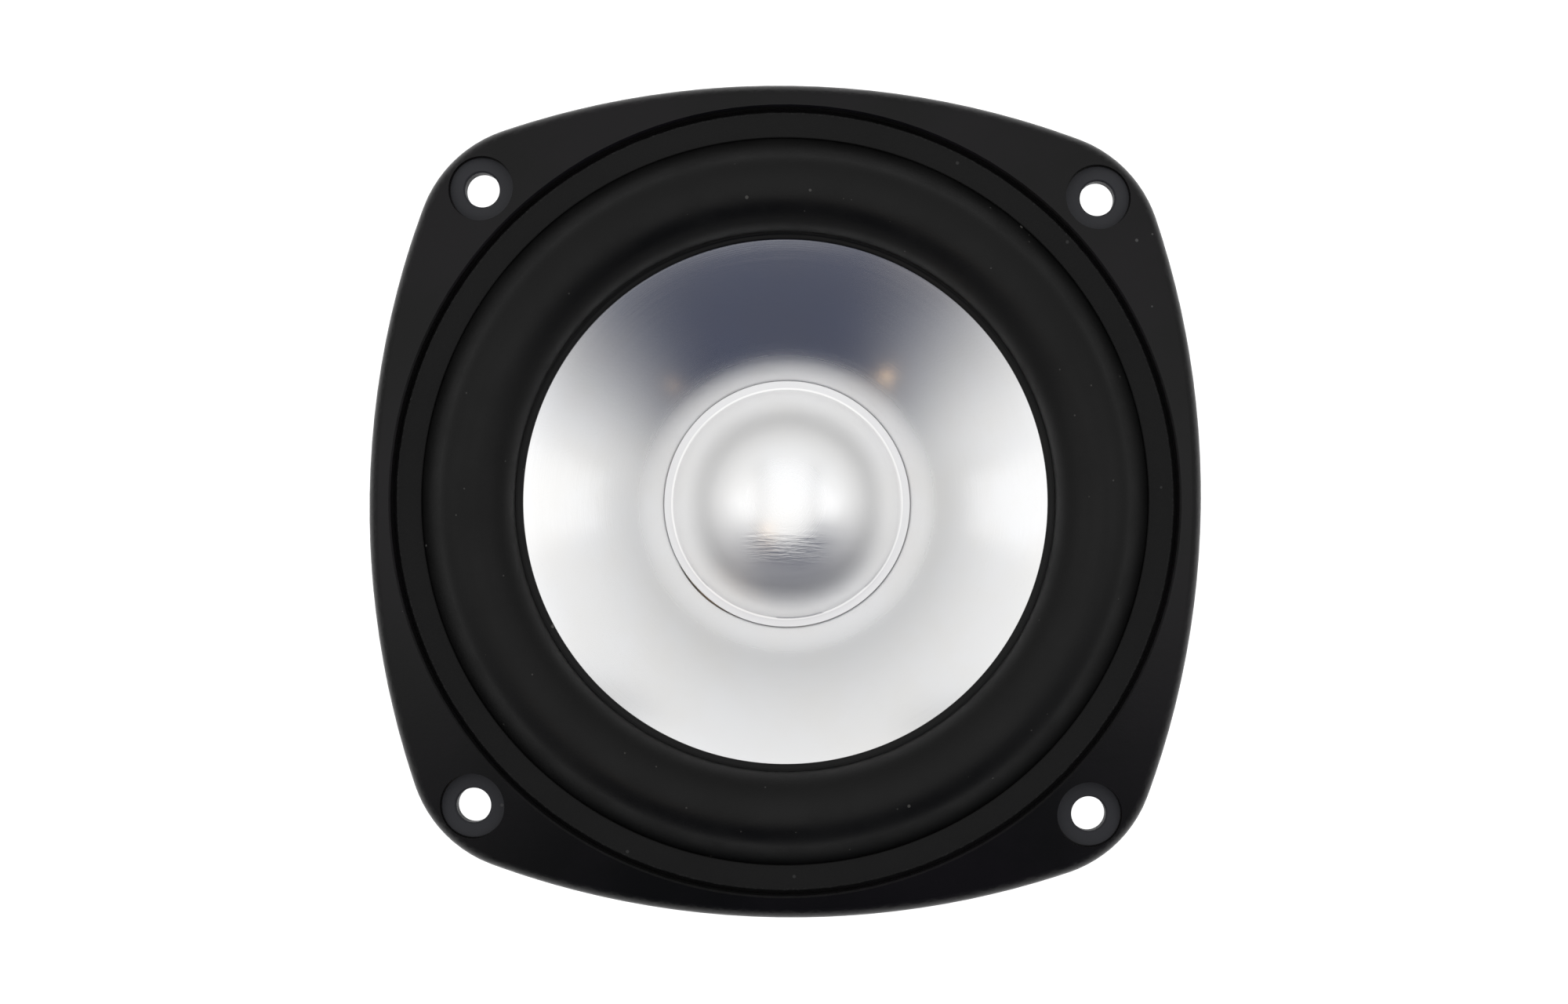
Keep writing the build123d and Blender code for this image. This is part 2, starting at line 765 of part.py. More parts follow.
def corner_radii(points):
    """The largest arc that each corner's two runs allow."""
    radii = []
    for before, corner, after in zip(points, points[1:], points[2:]):
        arriving = Vector(*corner) - Vector(*before)
        leaving = Vector(*after) - Vector(*corner)
        turn = math.radians(arriving.get_angle(leaving))
        shorter = min(arriving.length, leaving.length)
        radii.append(bend_share * shorter / math.tan(turn / 2))
    return radii


for side, polarity in ((1, "positive"), (-1, "negative")):
    route = [(side * x, y, z) for x, y, z in lead_route]
    radii = corner_radii(route)
    with BuildPart() as lead:
        with BuildLine() as path:
            FilletPolyline(*route, radius=radii)
        with BuildSketch(Plane(path.line @ 0, z_dir=path.line % 0)):
            Circle(lead_diameter / 2)
        sweep()
    expected = math.pi * lead_diameter**2 / 4 * path.wire().length
    print(polarity, "lead radii", [round(r, 1) for r in radii], "volume", lead.part.volume / expected)
    save(lead.part, f"lead_{polarity}")
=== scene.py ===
import json
import math

import bmesh
import bpy
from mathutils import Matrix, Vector, noise


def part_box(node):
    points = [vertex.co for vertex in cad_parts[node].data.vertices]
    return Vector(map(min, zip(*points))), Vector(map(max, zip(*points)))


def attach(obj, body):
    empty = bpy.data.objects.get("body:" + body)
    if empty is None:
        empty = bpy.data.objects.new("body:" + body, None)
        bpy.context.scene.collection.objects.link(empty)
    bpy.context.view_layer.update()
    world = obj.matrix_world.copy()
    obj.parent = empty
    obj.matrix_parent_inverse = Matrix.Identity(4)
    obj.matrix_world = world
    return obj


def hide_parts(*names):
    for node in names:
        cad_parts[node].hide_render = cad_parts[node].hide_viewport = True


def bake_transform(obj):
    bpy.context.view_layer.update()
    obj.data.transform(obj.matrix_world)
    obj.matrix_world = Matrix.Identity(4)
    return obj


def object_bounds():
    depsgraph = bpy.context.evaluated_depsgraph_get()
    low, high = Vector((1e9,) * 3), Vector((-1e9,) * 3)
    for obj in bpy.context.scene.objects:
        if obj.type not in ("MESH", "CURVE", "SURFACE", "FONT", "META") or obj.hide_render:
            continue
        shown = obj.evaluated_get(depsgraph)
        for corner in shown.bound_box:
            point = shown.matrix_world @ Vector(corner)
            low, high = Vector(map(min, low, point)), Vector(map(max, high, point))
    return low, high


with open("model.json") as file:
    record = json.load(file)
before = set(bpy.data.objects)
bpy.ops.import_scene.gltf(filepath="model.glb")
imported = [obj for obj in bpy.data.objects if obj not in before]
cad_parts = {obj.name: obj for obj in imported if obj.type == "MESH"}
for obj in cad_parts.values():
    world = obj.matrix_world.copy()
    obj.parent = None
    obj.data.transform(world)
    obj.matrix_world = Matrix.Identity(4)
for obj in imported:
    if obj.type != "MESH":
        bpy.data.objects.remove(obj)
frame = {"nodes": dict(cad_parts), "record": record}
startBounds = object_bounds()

mm = 0.001
fixedBody = "frame"
movingBody = "cone_assembly"
spinSteps = 256


# profiles are lists of (radius, height) in metres
def circleThrough(first, middle, last):
    ax, ay = first
    bx, by = middle
    cx, cy = last
    double = 2 * (ax * (by - cy) + bx * (cy - ay) + cx * (ay - by))
    aa, bb, cc = ax * ax + ay * ay, bx * bx + by * by, cx * cx + cy * cy
    x = (aa * (by - cy) + bb * (cy - ay) + cc * (ay - by)) / double
    y = (aa * (cx - bx) + bb * (ax - cx) + cc * (bx - ax)) / double
    return (x, y), math.hypot(ax - x, ay - y)


def arcThrough(first, middle, last, count):
    centre, radius = circleThrough(first, middle, last)
    angles = [math.atan2(p[1] - centre[1], p[0] - centre[0]) for p in (first, middle, last)]
    whole = 2 * math.pi
    sweep = (angles[2] - angles[0]) % whole
    if (angles[1] - angles[0]) % whole > sweep:
        sweep -= whole
    found = []
    for index in range(count + 1):
        angle = angles[0] + sweep * index / count
        found.append((centre[0] + radius * math.cos(angle), centre[1] + radius * math.sin(angle)))
    return found


def roundCorners(points, radius, steps=3, least=0.35):
    found = []
    for index, corner in enumerate(points):
        before = Vector(points[index - 1])
        here = Vector(corner)
        after = Vector(points[(index + 1) % len(points)])
        back, ahead = before - here, after - here
        if math.pi - back.angle(ahead) < least:
            found.append(tuple(here))
            continue
        cut = min(radius, 0.45 * back.length, 0.45 * ahead.length)
        start = here + back.normalized() * cut
        end = here + ahead.normalized() * cut
        for step in range(steps + 1):
            t = step / steps
            point = start * (1 - t) ** 2 + here * (2 * t * (1 - t)) + end * t * t
            found.append(tuple(point))
    return found


def finishMesh(name, made, sharpAngle=0.6):
    bmesh.ops.remove_doubles(made, verts=made.verts, dist=1e-7)
    bmesh.ops.recalc_face_normals(made, faces=made.faces)
    for face in made.faces:
        face.smooth = True
    for edge in made.edges:
        if len(edge.link_faces) == 2:
            edge.smooth = edge.calc_face_angle(0) < sharpAngle
    mesh = bpy.data.meshes.new(name)
    made.to_mesh(mesh)
    made.free()
    piece = bpy.data.objects.new(name, mesh)
    bpy.context.scene.collection.objects.link(piece)
    return piece


def spinMesh(profile, steps=spinSteps):
    made = bmesh.new()
    ring = [made.verts.new((r, 0, z)) for r, z in profile]
    edges = [made.edges.new(pair) for pair in zip(ring, ring[1:] + ring[:1])]
    bmesh.ops.spin(made, geom=ring + edges, cent=(0, 0, 0), axis=(0, 0, 1),
                   angle=2 * math.pi, steps=steps, use_merge=True)
    return made


def moveVerts(made, change):
    for vert in made.verts:
        vert.co = change(vert.co)


def blendAcross(piece, inner, outer):
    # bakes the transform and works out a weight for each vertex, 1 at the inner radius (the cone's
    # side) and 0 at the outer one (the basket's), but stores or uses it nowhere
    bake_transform(piece)
    for vert in piece.data.vertices:
        t = (outer - math.hypot(vert.co.x, vert.co.y)) / (outer - inner)
        t = min(max(t, 0), 1)
        t * t * (3 - 2 * t)


def dress(piece, material):
    piece.data.materials.clear()
    piece.data.materials.append(material)


class Signal:
    # one output socket, with ordinary arithmetic
    def __init__(self, shader, socket):
        self.shader = shader
        self.socket = socket

    def __add__(self, other):
        return self.shader.maths("ADD", self, other)

    def __radd__(self, other):
        return self.shader.maths("ADD", other, self)

    def __sub__(self, other):
        return self.shader.maths("SUBTRACT", self, other)

    def __rsub__(self, other):
        return self.shader.maths("SUBTRACT", other, self)

    def __mul__(self, other):
        return self.shader.maths("MULTIPLY", self, other)

    def __rmul__(self, other):
        return self.shader.maths("MULTIPLY", other, self)

    def __truediv__(self, other):
        return self.shader.maths("DIVIDE", self, other)

    def __rtruediv__(self, other):
        return self.shader.maths("DIVIDE", other, self)


class Shader:
    def __init__(self, name, **constants):
        self.material = bpy.data.materials.new(name)
        self.material.use_nodes = True
        self.tree = self.material.node_tree
        self.tree.nodes.clear()
        self.surface = self.tree.nodes.new("ShaderNodeBsdfPrincipled")
        self.output = self.tree.nodes.new("ShaderNodeOutputMaterial")
        self.tree.links.new(self.surface.outputs[0], self.output.inputs["Surface"])
        for key, value in constants.items():
            self.surface.inputs[key.replace("_", " ")].default_value = value

    def plug(self, value, socket):
        if isinstance(value, Signal):
            self.tree.links.new(value.socket, socket)
        else:
            socket.default_value = value

    def make(self, kind, settings=None, values=None, output=0):
        made = self.tree.nodes.new("ShaderNode" + kind)
        for key, value in (settings or {}).items():
            setattr(made, key, value)
        for key, value in (values or {}).items():
            self.plug(value, made.inputs[key])
        return Signal(self, made.outputs[output])

    def maths(self, operation, *items):
        return self.make("Math", {"operation": operation}, dict(enumerate(items)))

    def spread(self, value, low, high):
        # smooth step of value, 0 at low and 1 at high
        settings = {"interpolation_type": "SMOOTHSTEP"}
        values = {"Value": value, "From Min": low, "From Max": high}
        return self.make("MapRange", settings, values)

    def mix(self, factor, first, second):
        values = {0: factor, 6: first, 7: second}
        return self.make("Mix", {"data_type": "RGBA"}, values, output=2)

    def place(self, scale=(1, 1, 1), turn=(0, 0, 0)):
        here = self.make("TexCoord", output="Object")
        return self.make("Mapping", None, {"Vector": here, "Scale": scale, "Rotation": turn})

    def noise(self, scale, detail=3.0, rough=0.55, where=None):
        values = {"Vector": where or self.place(), "Scale": scale}
        values.update({"Detail": detail, "Roughness": rough})
        return self.make("TexNoise", None, values)

    def parts(self):
        # x, y and z of the point, in metres
        here = self.make("TexCoord", output="Object")
        split = self.tree.nodes.new("ShaderNodeSeparateXYZ")
        self.plug(here, split.inputs[0])
        return [Signal(self, out) for out in split.outputs]

    def polar(self):
        x, y, z = self.parts()
        radius = self.maths("SQRT", x * x + y * y)
        return radius, self.maths("ARCTAN2", y, x), z

    def bump(self, height, strength, distance, normal=None):
        values = {"Height": height, "Strength": strength, "Distance": distance}
        if normal is not None:
            values["Normal"] = normal
        return self.make("Bump", None, values)

    def wear(self, **signals):
        for key, value in signals.items():
            self.plug(value, self.surface.inputs[key.replace("_", " ")])
        return self.material


def grey(value, tint=(1, 1, 1)):
    return (value * tint[0], value * tint[1], value * tint[2], 1)


def specks(shader, cells, size, share):
    # round specks: small ones of the cells of a Voronoi, the others left empty
    where = shader.place()
    values = {"Vector": where, "Scale": cells}
    distance = shader.make("TexVoronoi", None, values, output="Distance")
    tint = shader.make("TexVoronoi", None, values, output="Color")
    split = shader.tree.nodes.new("ShaderNodeSeparateColor")
    shader.plug(tint, split.inputs[0])
    chosen = shader.maths("LESS_THAN", Signal(shader, split.outputs[0]), share)
    return shader.maths("LESS_THAN", distance, size) * chosen


def holePlace():
    # distance of each mounting hole from the two centre planes
    mounts = {mount["name"]: mount for mount in frame["record"]["mounts"]}
    return mounts["mounting_holes"]["dims"]["spacing_x_mm"] / 2 * mm


def framePaint():
    look = dict(
        dark=0.0016,
        light=0.0034,
        bored=0.034,
        dust=0.12,
        roughLow=0.25,
        roughHigh=0.34,
        fall=0.15,  # slope that the rounded front gains outwards
        boreWall=(4.65 * mm, 4.5 * mm),
        boreFloor=(2.8 * mm, 2.6 * mm),
    )
    shader = Shader("framePaint", Specular_IOR_Level=0.225)
    x, y, z = shader.parts()
    broad = shader.noise(45.0, 4.0)
    fine = shader.noise(1500.0, 3.0, 0.6)
    grain = shader.noise(5200.0, 2.0)
    dust = specks(shader, 420.0, 0.10, 0.05)
    light = grey(look["light"], (1.12, 0.9, 1.2))
    colour = shader.mix(shader.spread(broad, 0.35, 0.65), grey(look["dark"]), light)
    # the counterbores' floors are paler and rougher than the front around them
    corner = holePlace()
    offX = shader.maths("ABSOLUTE", x) - corner
    offY = shader.maths("ABSOLUTE", y) - corner
    fromHole = shader.maths("SQRT", offX * offX + offY * offY)
    bored = shader.spread(fromHole, *look["boreWall"]) * shader.spread(z, *look["boreFloor"])
    colour = shader.mix(bored, colour, grey(look["bored"], (0.95, 0.97, 1.1)))
    colour = shader.mix(dust * 0.5, colour, grey(look["dust"]))
    rough = look["roughLow"] + broad * (look["roughHigh"] - look["roughLow"])
    rough = rough + dust * 0.2 + bored * 0.25
    # the cast front rounds off outwards a little more than its crown alone
    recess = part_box("surround_gasket")[1].x
    beyond = shader.maths("MAXIMUM", shader.polar()[0] - recess, 0.0)
    normal = shader.bump(beyond * -look["fall"], 1.0, 1.0)
    normal = shader.bump(fine * 0.6 + grain * 0.4, 0.35, 0.00006, normal)
    return shader.wear(Base_Color=colour, Roughness=rough, Normal=normal)


def ringRubber():
    look = dict(dark=0.0045, light=0.0075, frayed=0.06, rough=0.62, uneven=0.2)
    shader = Shader("ringRubber", Specular_IOR_Level=0.22)
    broad = shader.noise(60.0, 4.0)
    fine = shader.noise(2400.0, 4.0, 0.7)
    dust = specks(shader, 500.0, 0.12, 0.08)
    # short pale fibres along the outer edge
    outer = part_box("surround_gasket")[1].x
    edge = shader.spread(shader.polar()[0], outer - 0.5 * mm, outer - 0.05 * mm)
    frayed = edge * shader.spread(fine, 0.45, 0.75)
    colour = shader.mix(shader.spread(broad, 0.3, 0.7), grey(look["dark"]), grey(look["light"]))
    colour = shader.mix(frayed * 0.5 + dust * 0.5, colour, grey(look["frayed"]))
    normal = shader.bump(fine, 0.55, 0.00012)
    rough = look["rough"] + broad * look["uneven"]
    return shader.wear(Base_Color=colour, Roughness=rough, Normal=normal)


def surroundRubber():
    look = dict(dark=0.0018, light=0.0034, dust=0.11, rough=0.34, smeared=0.12)
    shader = Shader("surroundRubber", Specular_IOR_Level=0.19)
    broad = shader.noise(38.0, 4.0)
    fine = shader.noise(3000.0, 3.0, 0.6)
    dust = specks(shader, 330.0, 0.09, 0.07)
    lint = specks(shader, 900.0, 0.12, 0.05)
    smear = shader.noise(120.0, 5.0, 0.65)
    colour = shader.mix(shader.spread(broad, 0.35, 0.7), grey(look["dark"]), grey(look["light"]))
    colour = shader.mix(dust * 0.55 + lint * 0.35, colour, grey(look["dust"], (1, 0.97, 0.92)))
    rough = look["rough"] + shader.spread(smear, 0.3, 0.75) * look["smeared"] + dust * 0.2
    normal = shader.bump(fine, 0.3, 0.00005)
    return shader.wear(Base_Color=colour, Roughness=rough, Normal=normal)


def spunMetal(name, look):
    # bare spun aluminium, with fine grooves round the axis
    shader = Shader(name, Metallic=1.0)
    radius, angle, z = shader.polar()
    bright = look["bright"]
    broad = shader.noise(70.0, 4.0)
    fine = shader.noise(2600.0, 4.0, 0.6)
    around = {0: radius * look["grooves"], 1: angle * 1.5, 2: z * 60.0}
    grooves = shader.noise(1.0, 2.0, 0.5, shader.make("CombineXYZ", None, around))
    cool, warm = grey(bright, (0.985, 0.99, 1.0)), grey(bright * 0.97, (1.0, 0.995, 0.985))
    colour = shader.mix(shader.spread(broad, 0.3, 0.7), cool, warm)
    colour = shader.mix(shader.spread(fine, 0.55, 0.8) * 0.08, colour, grey(bright * 0.6))
    rough = look["rough"] + broad * 0.05 + shader.spread(grooves, 0.3, 0.7) * 0.03
    normal = shader.bump(fine, 0.12, 0.00002)
    normal = shader.bump(grooves, 0.1, 0.00003, normal)
    return shader, colour, rough, normal


def coneMetal():
    look = dict(
        bright=0.87,
        rough=0.13,
        grooves=9000.0,
        neck=(24.5 * mm, 18.5 * mm),
        neckRough=0.26,
    )
    shader, colour, rough, normal = spunMetal("coneMetal", look)
    rough = rough + shader.spread(shader.polar()[0], *look["neck"]) * look["neckRough"]
    return shader.wear(Base_Color=colour, Roughness=rough, Normal=normal)


def capMetal():
    look = dict(
        bright=0.94,
        rough=0.24,
        grooves=5000.0,
        satin=(6.0 * mm, 10.5 * mm),
        satinRough=0.16,
        brim=0.88,  # the flat brim's brightness beside the dome's
        brimWidth=1.1 * mm,
        scuffLow=(-10.5 * mm, -7.5 * mm),
        scuffHigh=(-3.4 * mm, -5.6 * mm),
        scuffSide=(7.5 * mm, 4.0 * mm),
    )
    shader, colour, rough, normal = spunMetal("capMetal", look)
    radius = shader.polar()[0]
    x, y = shader.parts()[:2]
    # satin towards the dome's edge, and duller on the flat brim
    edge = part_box("dust_cap")[1].x - look["brimWidth"]
    outside = shader.spread(radius, edge, edge + 0.1 * mm)
    satin = shader.spread(radius, *look["satin"])
    colour = shader.mix(satin, colour, grey(0.99, (1.0, 0.997, 0.993)))
    colour = shader.mix(outside, colour, grey(look["bright"] * look["brim"], (0.99, 0.99, 1.0)))
    rough = rough + satin * look["satinRough"]
    # faint scuffs across the lower part of the dome
    streaks = shader.place(scale=(260, 2600, 1), turn=(0, 0, 0.12))
    scuffs = shader.noise(1.0, 3.0, 0.65, streaks)
    band = shader.spread(y, *look["scuffLow"]) * shader.spread(y, *look["scuffHigh"])
    band = band * shader.spread(shader.maths("ABSOLUTE", x), *look["scuffSide"])
    normal = shader.bump(scuffs * band, 0.55, 0.00012, normal)
    return shader.wear(Base_Color=colour, Roughness=rough, Normal=normal)


def gluedBead():
    look = dict(dark=(0.05, 0.032, 0.018, 1), light=(0.16, 0.10, 0.055, 1))
    shader = Shader("gluedBead", Specular_IOR_Level=0.5)
    broad = shader.noise(300.0, 4.0)
    colour = shader.mix(shader.spread(broad, 0.35, 0.65), look["dark"], look["light"])
    normal = shader.bump(shader.noise(900.0, 3.0), 0.5, 0.0001)
    return shader.wear(Base_Color=colour, Roughness=0.22 + broad * 0.25, Normal=normal)


def spiderCloth():
    look = dict(
        thread=0.45 * mm,
        dark=(0.20, 0.105, 0.028, 1),
        light=(0.46, 0.27, 0.085, 1),
        stain=(0.30, 0.16, 0.05, 1),
    )
    shader = Shader("spiderCloth", Specular_IOR_Level=0.25, Sheen_Weight=0.15)
    x, y = shader.parts()[:2]
    pitch = 2 * math.pi / look["thread"]
    across = shader.maths("SINE", x * pitch)
    along = shader.maths("SINE", y * pitch)
    weave = across * along * 0.5 + 0.5
    broad = shader.noise(90.0, 4.0)
    colour = shader.mix(weave, look["dark"], look["light"])
    colour = shader.mix(shader.spread(broad, 0.4, 0.75) * 0.4, colour, look["stain"])
    normal = shader.bump(weave, 0.7, 0.00012)
    return shader.wear(Base_Color=colour, Roughness=0.75 + broad * 0.15, Normal=normal)


def plainMetal(name, colour, rough, turned=0.0, stain=0.35, scale=120.0):
    shader = Shader(name, Metallic=1.0)
    broad = shader.noise(scale, 5.0, 0.6)
    fine = shader.noise(scale * 18, 3.0)
    darker = tuple(c * 0.62 for c in colour[:3]) + (1,)
    tone = shader.mix(shader.spread(broad, 0.4, 0.7) * stain, colour, darker)
    normal = shader.bump(fine, 0.2, 0.00004)
    if turned:
        # marks left by the lathe
        pitch = 2 * math.pi / (0.25 * mm)
        rings = shader.maths("SINE", shader.polar()[0] * pitch) * 0.5 + 0.5
        normal = shader.bump(rings, turned, 0.00002, normal)
    return shader.wear(Base_Color=tone, Roughness=rough + broad * 0.18, Normal=normal)


def ferriteStone():
    shader = Shader("ferriteStone", Specular_IOR_Level=0.4)
    broad = shader.noise(60.0, 5.0, 0.6)
    grain = shader.noise(1800.0, 4.0, 0.7)
    chips = specks(shader, 160.0, 0.16, 0.12)
    colour = shader.mix(shader.spread(broad, 0.35, 0.7), grey(0.018), grey(0.04, (1, 1, 1.05)))
    colour = shader.mix(chips * 0.4, colour, grey(0.075))
    normal = shader.bump(grain + chips * -0.6, 0.5, 0.00012)
    return shader.wear(Base_Color=colour, Roughness=0.5 + grain * 0.25, Normal=normal)


def phenolicBoard():
    shader = Shader("phenolicBoard", Specular_IOR_Level=0.4)
    fibres = shader.noise(1.0, 4.0, 0.6, shader.place(scale=(260, 2400, 2400)))
    broad = shader.noise(150.0, 3.0)
    colour = shader.mix(fibres, (0.10, 0.042, 0.016, 1), (0.22, 0.105, 0.04, 1))
    normal = shader.bump(fibres, 0.3, 0.00006)
    return shader.wear(Base_Color=colour, Roughness=0.42 + broad * 0.2, Normal=normal)


def collarPaper():
    shader = Shader("collarPaper", Specular_IOR_Level=0.25)
    fibres = shader.noise(1.0, 4.0, 0.65, shader.place(scale=(900, 900, 3200)))
    colour = shader.mix(fibres, (0.22, 0.13, 0.06, 1), (0.42, 0.28, 0.15, 1))
    normal = shader.bump(fibres, 0.4, 0.00008)
    return shader.wear(Base_Color=colour, Roughness=0.7 + fibres * 0.2, Normal=normal)


def gasketFoam():
    shader = Shader("gasketFoam", Specular_IOR_Level=0.2)
    values = {"Vector": shader.place(), "Scale": 1800.0}
    cells = shader.make("TexVoronoi", None, values, output="Distance")
    broad = shader.noise(90.0, 3.0)
    colour = shader.mix(shader.spread(cells, 0.1, 0.6), grey(0.005), grey(0.022))
    normal = shader.bump(cells, 0.8, 0.0002)
    return shader.wear(Base_Color=colour, Roughness=0.85 + broad * 0.1, Normal=normal)


def coilWire(name, colour):
    shader = Shader(name, Metallic=0.9, Coat_Weight=0.4)
    height = shader.parts()[2]
    turns = shader.maths("SINE", height * (2 * math.pi / (0.4 * mm))) * 0.5 + 0.5
    broad = shader.noise(200.0, 3.0)
    # painted shade: the copper is darkened in the grooves between the winding's turns
    turnGrooveShade = tuple(c * 0.45 for c in colour[:3]) + (1,)
    tone = shader.mix(turns * 0.6 + broad * 0.3, turnGrooveShade, colour)
    normal = shader.bump(turns, 0.8, 0.0001)
    return shader.wear(Base_Color=tone, Roughness=0.25 + broad * 0.2, Normal=normal)


def braidedWire():
    shader = Shader("braidedWire", Metallic=0.85)
    where = shader.make("UVMap", {"uv_map": "UVMap"})
    split = shader.tree.nodes.new("ShaderNodeSeparateXYZ")
    shader.plug(where, split.inputs[0])
    around = Signal(shader, split.outputs[0])
    along = Signal(shader, split.outputs[1])
    strands = 2 * math.pi * 5
    one = shader.maths("SINE", (around + along) * strands)
    other = shader.maths("SINE", (around - along) * strands)
    braid = one * other * 0.5 + 0.5
    broad = shader.noise(400.0, 3.0)
    tone = shader.mix(braid, (0.20, 0.13, 0.07, 1), (0.66, 0.52, 0.34, 1))
    normal = shader.bump(braid, 0.9, 0.00015)
    return shader.wear(Base_Color=tone, Roughness=0.35 + broad * 0.2, Normal=normal)


print("stage: materials")
looks = {
    "frame_paint": framePaint(),
    "foam": gasketFoam(),
    "ring_rubber": ringRubber(),
    "surround_rubber": surroundRubber(),
    "spider_cloth": spiderCloth(),
    "cone_metal": coneMetal(),
    "cap_metal": capMetal(),
    "adhesive": gluedBead(),
    "former_metal": plainMetal("formerMetal", (0.72, 0.72, 0.73, 1), 0.3, scale=260.0),
    "copper": coilWire("coilCopper", (0.72, 0.30, 0.14, 1)),
    "collar_paper": collarPaper(),
    "solder": plainMetal("solderMetal", (0.62, 0.62, 0.60, 1), 0.28, scale=600.0, stain=0.5),
    "plated_steel": plainMetal("platedSteel", (0.52, 0.52, 0.50, 1), 0.34, turned=0.35),
    "ferrite": ferriteStone(),
    "screen_metal": plainMetal("screenMetal", (0.30, 0.30, 0.30, 1), 0.45, scale=500.0),
    "screw_steel": plainMetal("screwSteel", (0.48, 0.45, 0.34, 1), 0.34, scale=400.0),
    "board": phenolicBoard(),
    "terminal_brass": plainMetal("terminalBrass", (0.70, 0.58, 0.34, 1), 0.3, scale=300.0, stain=0.5),
    "rivet_brass": plainMetal("rivetBrass", (0.62, 0.50, 0.28, 1), 0.34, scale=500.0, stain=0.5),
    "lead_braid": braidedWire(),
}
slotOf = {part["node"]: part["material_slot"] for part in frame["record"]["subparts"]}
for nodeName, nodeObject in frame["nodes"].items():
    nodeObject.data.materials.clear()
    nodeObject.data.materials.append(looks[slotOf[nodeName]])


print("stage: suspension")
rollShape = dict(
    lip=0.9 * mm,
    width=12.6 * mm,
    thickness=0.8 * mm,
    rimOverlap=0.6 * mm,
    footWidth=1.6 * mm,
    footHeight=0.85 * mm,
    ripple=0.04 * mm,
    grain=0.01 * mm,
)
ringShape = dict(width=3.7 * mm, edge=0.22 * mm, frayReach=0.4 * mm, fray=0.07 * mm, worn=0.05 * mm)


def buildSurround():
    low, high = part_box("surround")
    ringWidth = high.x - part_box("cone")[1].x - rollShape["width"] + rollShape["rimOverlap"]
    outer = high.x - ringWidth
    inner = outer - rollShape["width"]
    skin = rollShape["thickness"]
    lipTop = low.z + skin
    middle = (inner + outer) / 2
    profile = [(inner - rollShape["lip"], low.z), (inner - rollShape["lip"], lipTop - 0.15 * mm)]
    profile += [(inner - rollShape["lip"] + 0.2 * mm, lipTop), (inner - 0.35 * mm, lipTop)]
    start, end = (inner + 0.02 * mm, lipTop + 0.25 * mm), (outer - 0.02 * mm, lipTop + 0.25 * mm)
    roll = arcThrough(start, (middle, high.z), end, 64)
    # the roll's outer foot runs out softly to the clamping ring
    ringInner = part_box("surround_gasket")[1].x - ringShape["width"]
    foot = [point for point in roll if point[0] > outer - rollShape["footWidth"]]
    roll = [point for point in roll if point not in foot]
    begin, finish = Vector(roll[-1]), Vector((ringInner, lipTop + rollShape["footHeight"]))
    slope = (begin - Vector(roll[-2])).normalized()
    corner = begin + slope * ((finish.y - begin.y) / slope.y)
    for step in range(1, 13):
        t = step / 12
        point = begin * (1 - t) ** 2 + corner * (2 * t * (1 - t)) + finish * t * t
        roll.append(tuple(point))
    profile += roll
    profile += [(ringInner + 0.02 * mm, lipTop), (high.x, lipTop), (high.x, low.z)]
    profile += arcThrough((outer - skin, low.z), (middle, high.z - skin), (inner + skin, low.z), 40)
    made = spinMesh(profile)

    def lively(co):
        share = min(max((co.z - lipTop) / (high.z - lipTop), 0), 1)
        wave = noise.noise(Vector((co.x, co.y, 0)) * 60) * rollShape["ripple"]
        wave += noise.noise(co * 400) * rollShape["grain"]
        return co + Vector((0, 0, min(wave, 0.0) * share))

    moveVerts(made, lively)
    piece = finishMesh("surroundRoll", made, 0.9)
    dress(piece, looks["surround_rubber"])
    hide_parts("surround")
    blendAcross(piece, inner, outer)


def buildRing():
    low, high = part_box("surround_gasket")
    inner = high.x - ringShape["width"]
    profile = [(inner, low.z), (high.x, low.z), (high.x, high.z), (inner, high.z)]
    made = spinMesh(roundCorners(profile, ringShape["edge"], 4), 384)

    def frayed(co):
        radius = math.hypot(co.x, co.y)
        if radius < high.x - ringShape["frayReach"]:
            return co
        shift = noise.noise(Vector((co.x, co.y, 0)) * 900) * ringShape["fray"] - ringShape["worn"]
        return Vector((co.x * (1 + shift / radius), co.y * (1 + shift / radius), co.z))

    moveVerts(made, frayed)
    piece = finishMesh("clampingRing", made, 0.9)
    dress(piece, looks["ring_rubber"])
    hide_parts("surround_gasket")
    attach(piece, fixedBody)


def buildSpider():
    low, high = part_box("spider")
    sheet = dict(flat=2.5 * mm, rim=5.2 * mm, thickness=0.5 * mm, skin=0.24 * mm, halfWaves=6)
    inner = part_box("coil_collar")[1].x
    start, end = inner + sheet["flat"], high.x - sheet["rim"]
    middle = (low.z + high.z) / 2
    reach = (high.z - low.z - sheet["thickness"]) / 2
    step = (end - start) / sheet["halfWaves"]
    count = sheet["halfWaves"] * 14
    line = [(inner, middle), (start - 0.4 * mm, middle)]
    for index in range(count + 1):
        r = start + (end - start) * index / count
        line.append((r, middle + reach * math.sin(math.pi * (r - start) / step)))
    line += [(end + 0.4 * mm, middle), (high.x, middle)]
    upper, lower = [], []
    for index, (r, z) in enumerate(line):
        ahead, behind = line[min(index + 1, len(line) - 1)], line[max(index - 1, 0)]
        slope = math.atan2(ahead[1] - behind[1], ahead[0] - behind[0])
        lift = sheet["skin"] / max(math.cos(slope), 0.6)
        upper.append((r, z + lift))
        lower.append((r, z - lift))
    made = spinMesh(upper + lower[::-1])
    piece = finishMesh("spiderDisc", made, 0.9)
    dress(piece, looks["spider_cloth"])
    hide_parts("spider")
    blendAcross(piece, start - 0.5 * mm, end + 0.3 * mm)


buildSurround()
buildRing()
buildSpider()


print("stage: cone and cap")
coneShape = dict(flare=1.0 * mm, thickness=0.4 * mm, edge=0.9 * mm, neckHeight=1.8 * mm)
coneLow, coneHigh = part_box("cone")
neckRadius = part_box("coil_collar")[1].x
coneEdge = coneHigh.x - coneShape["edge"]
neckTop = coneLow.z + coneShape["neckHeight"]


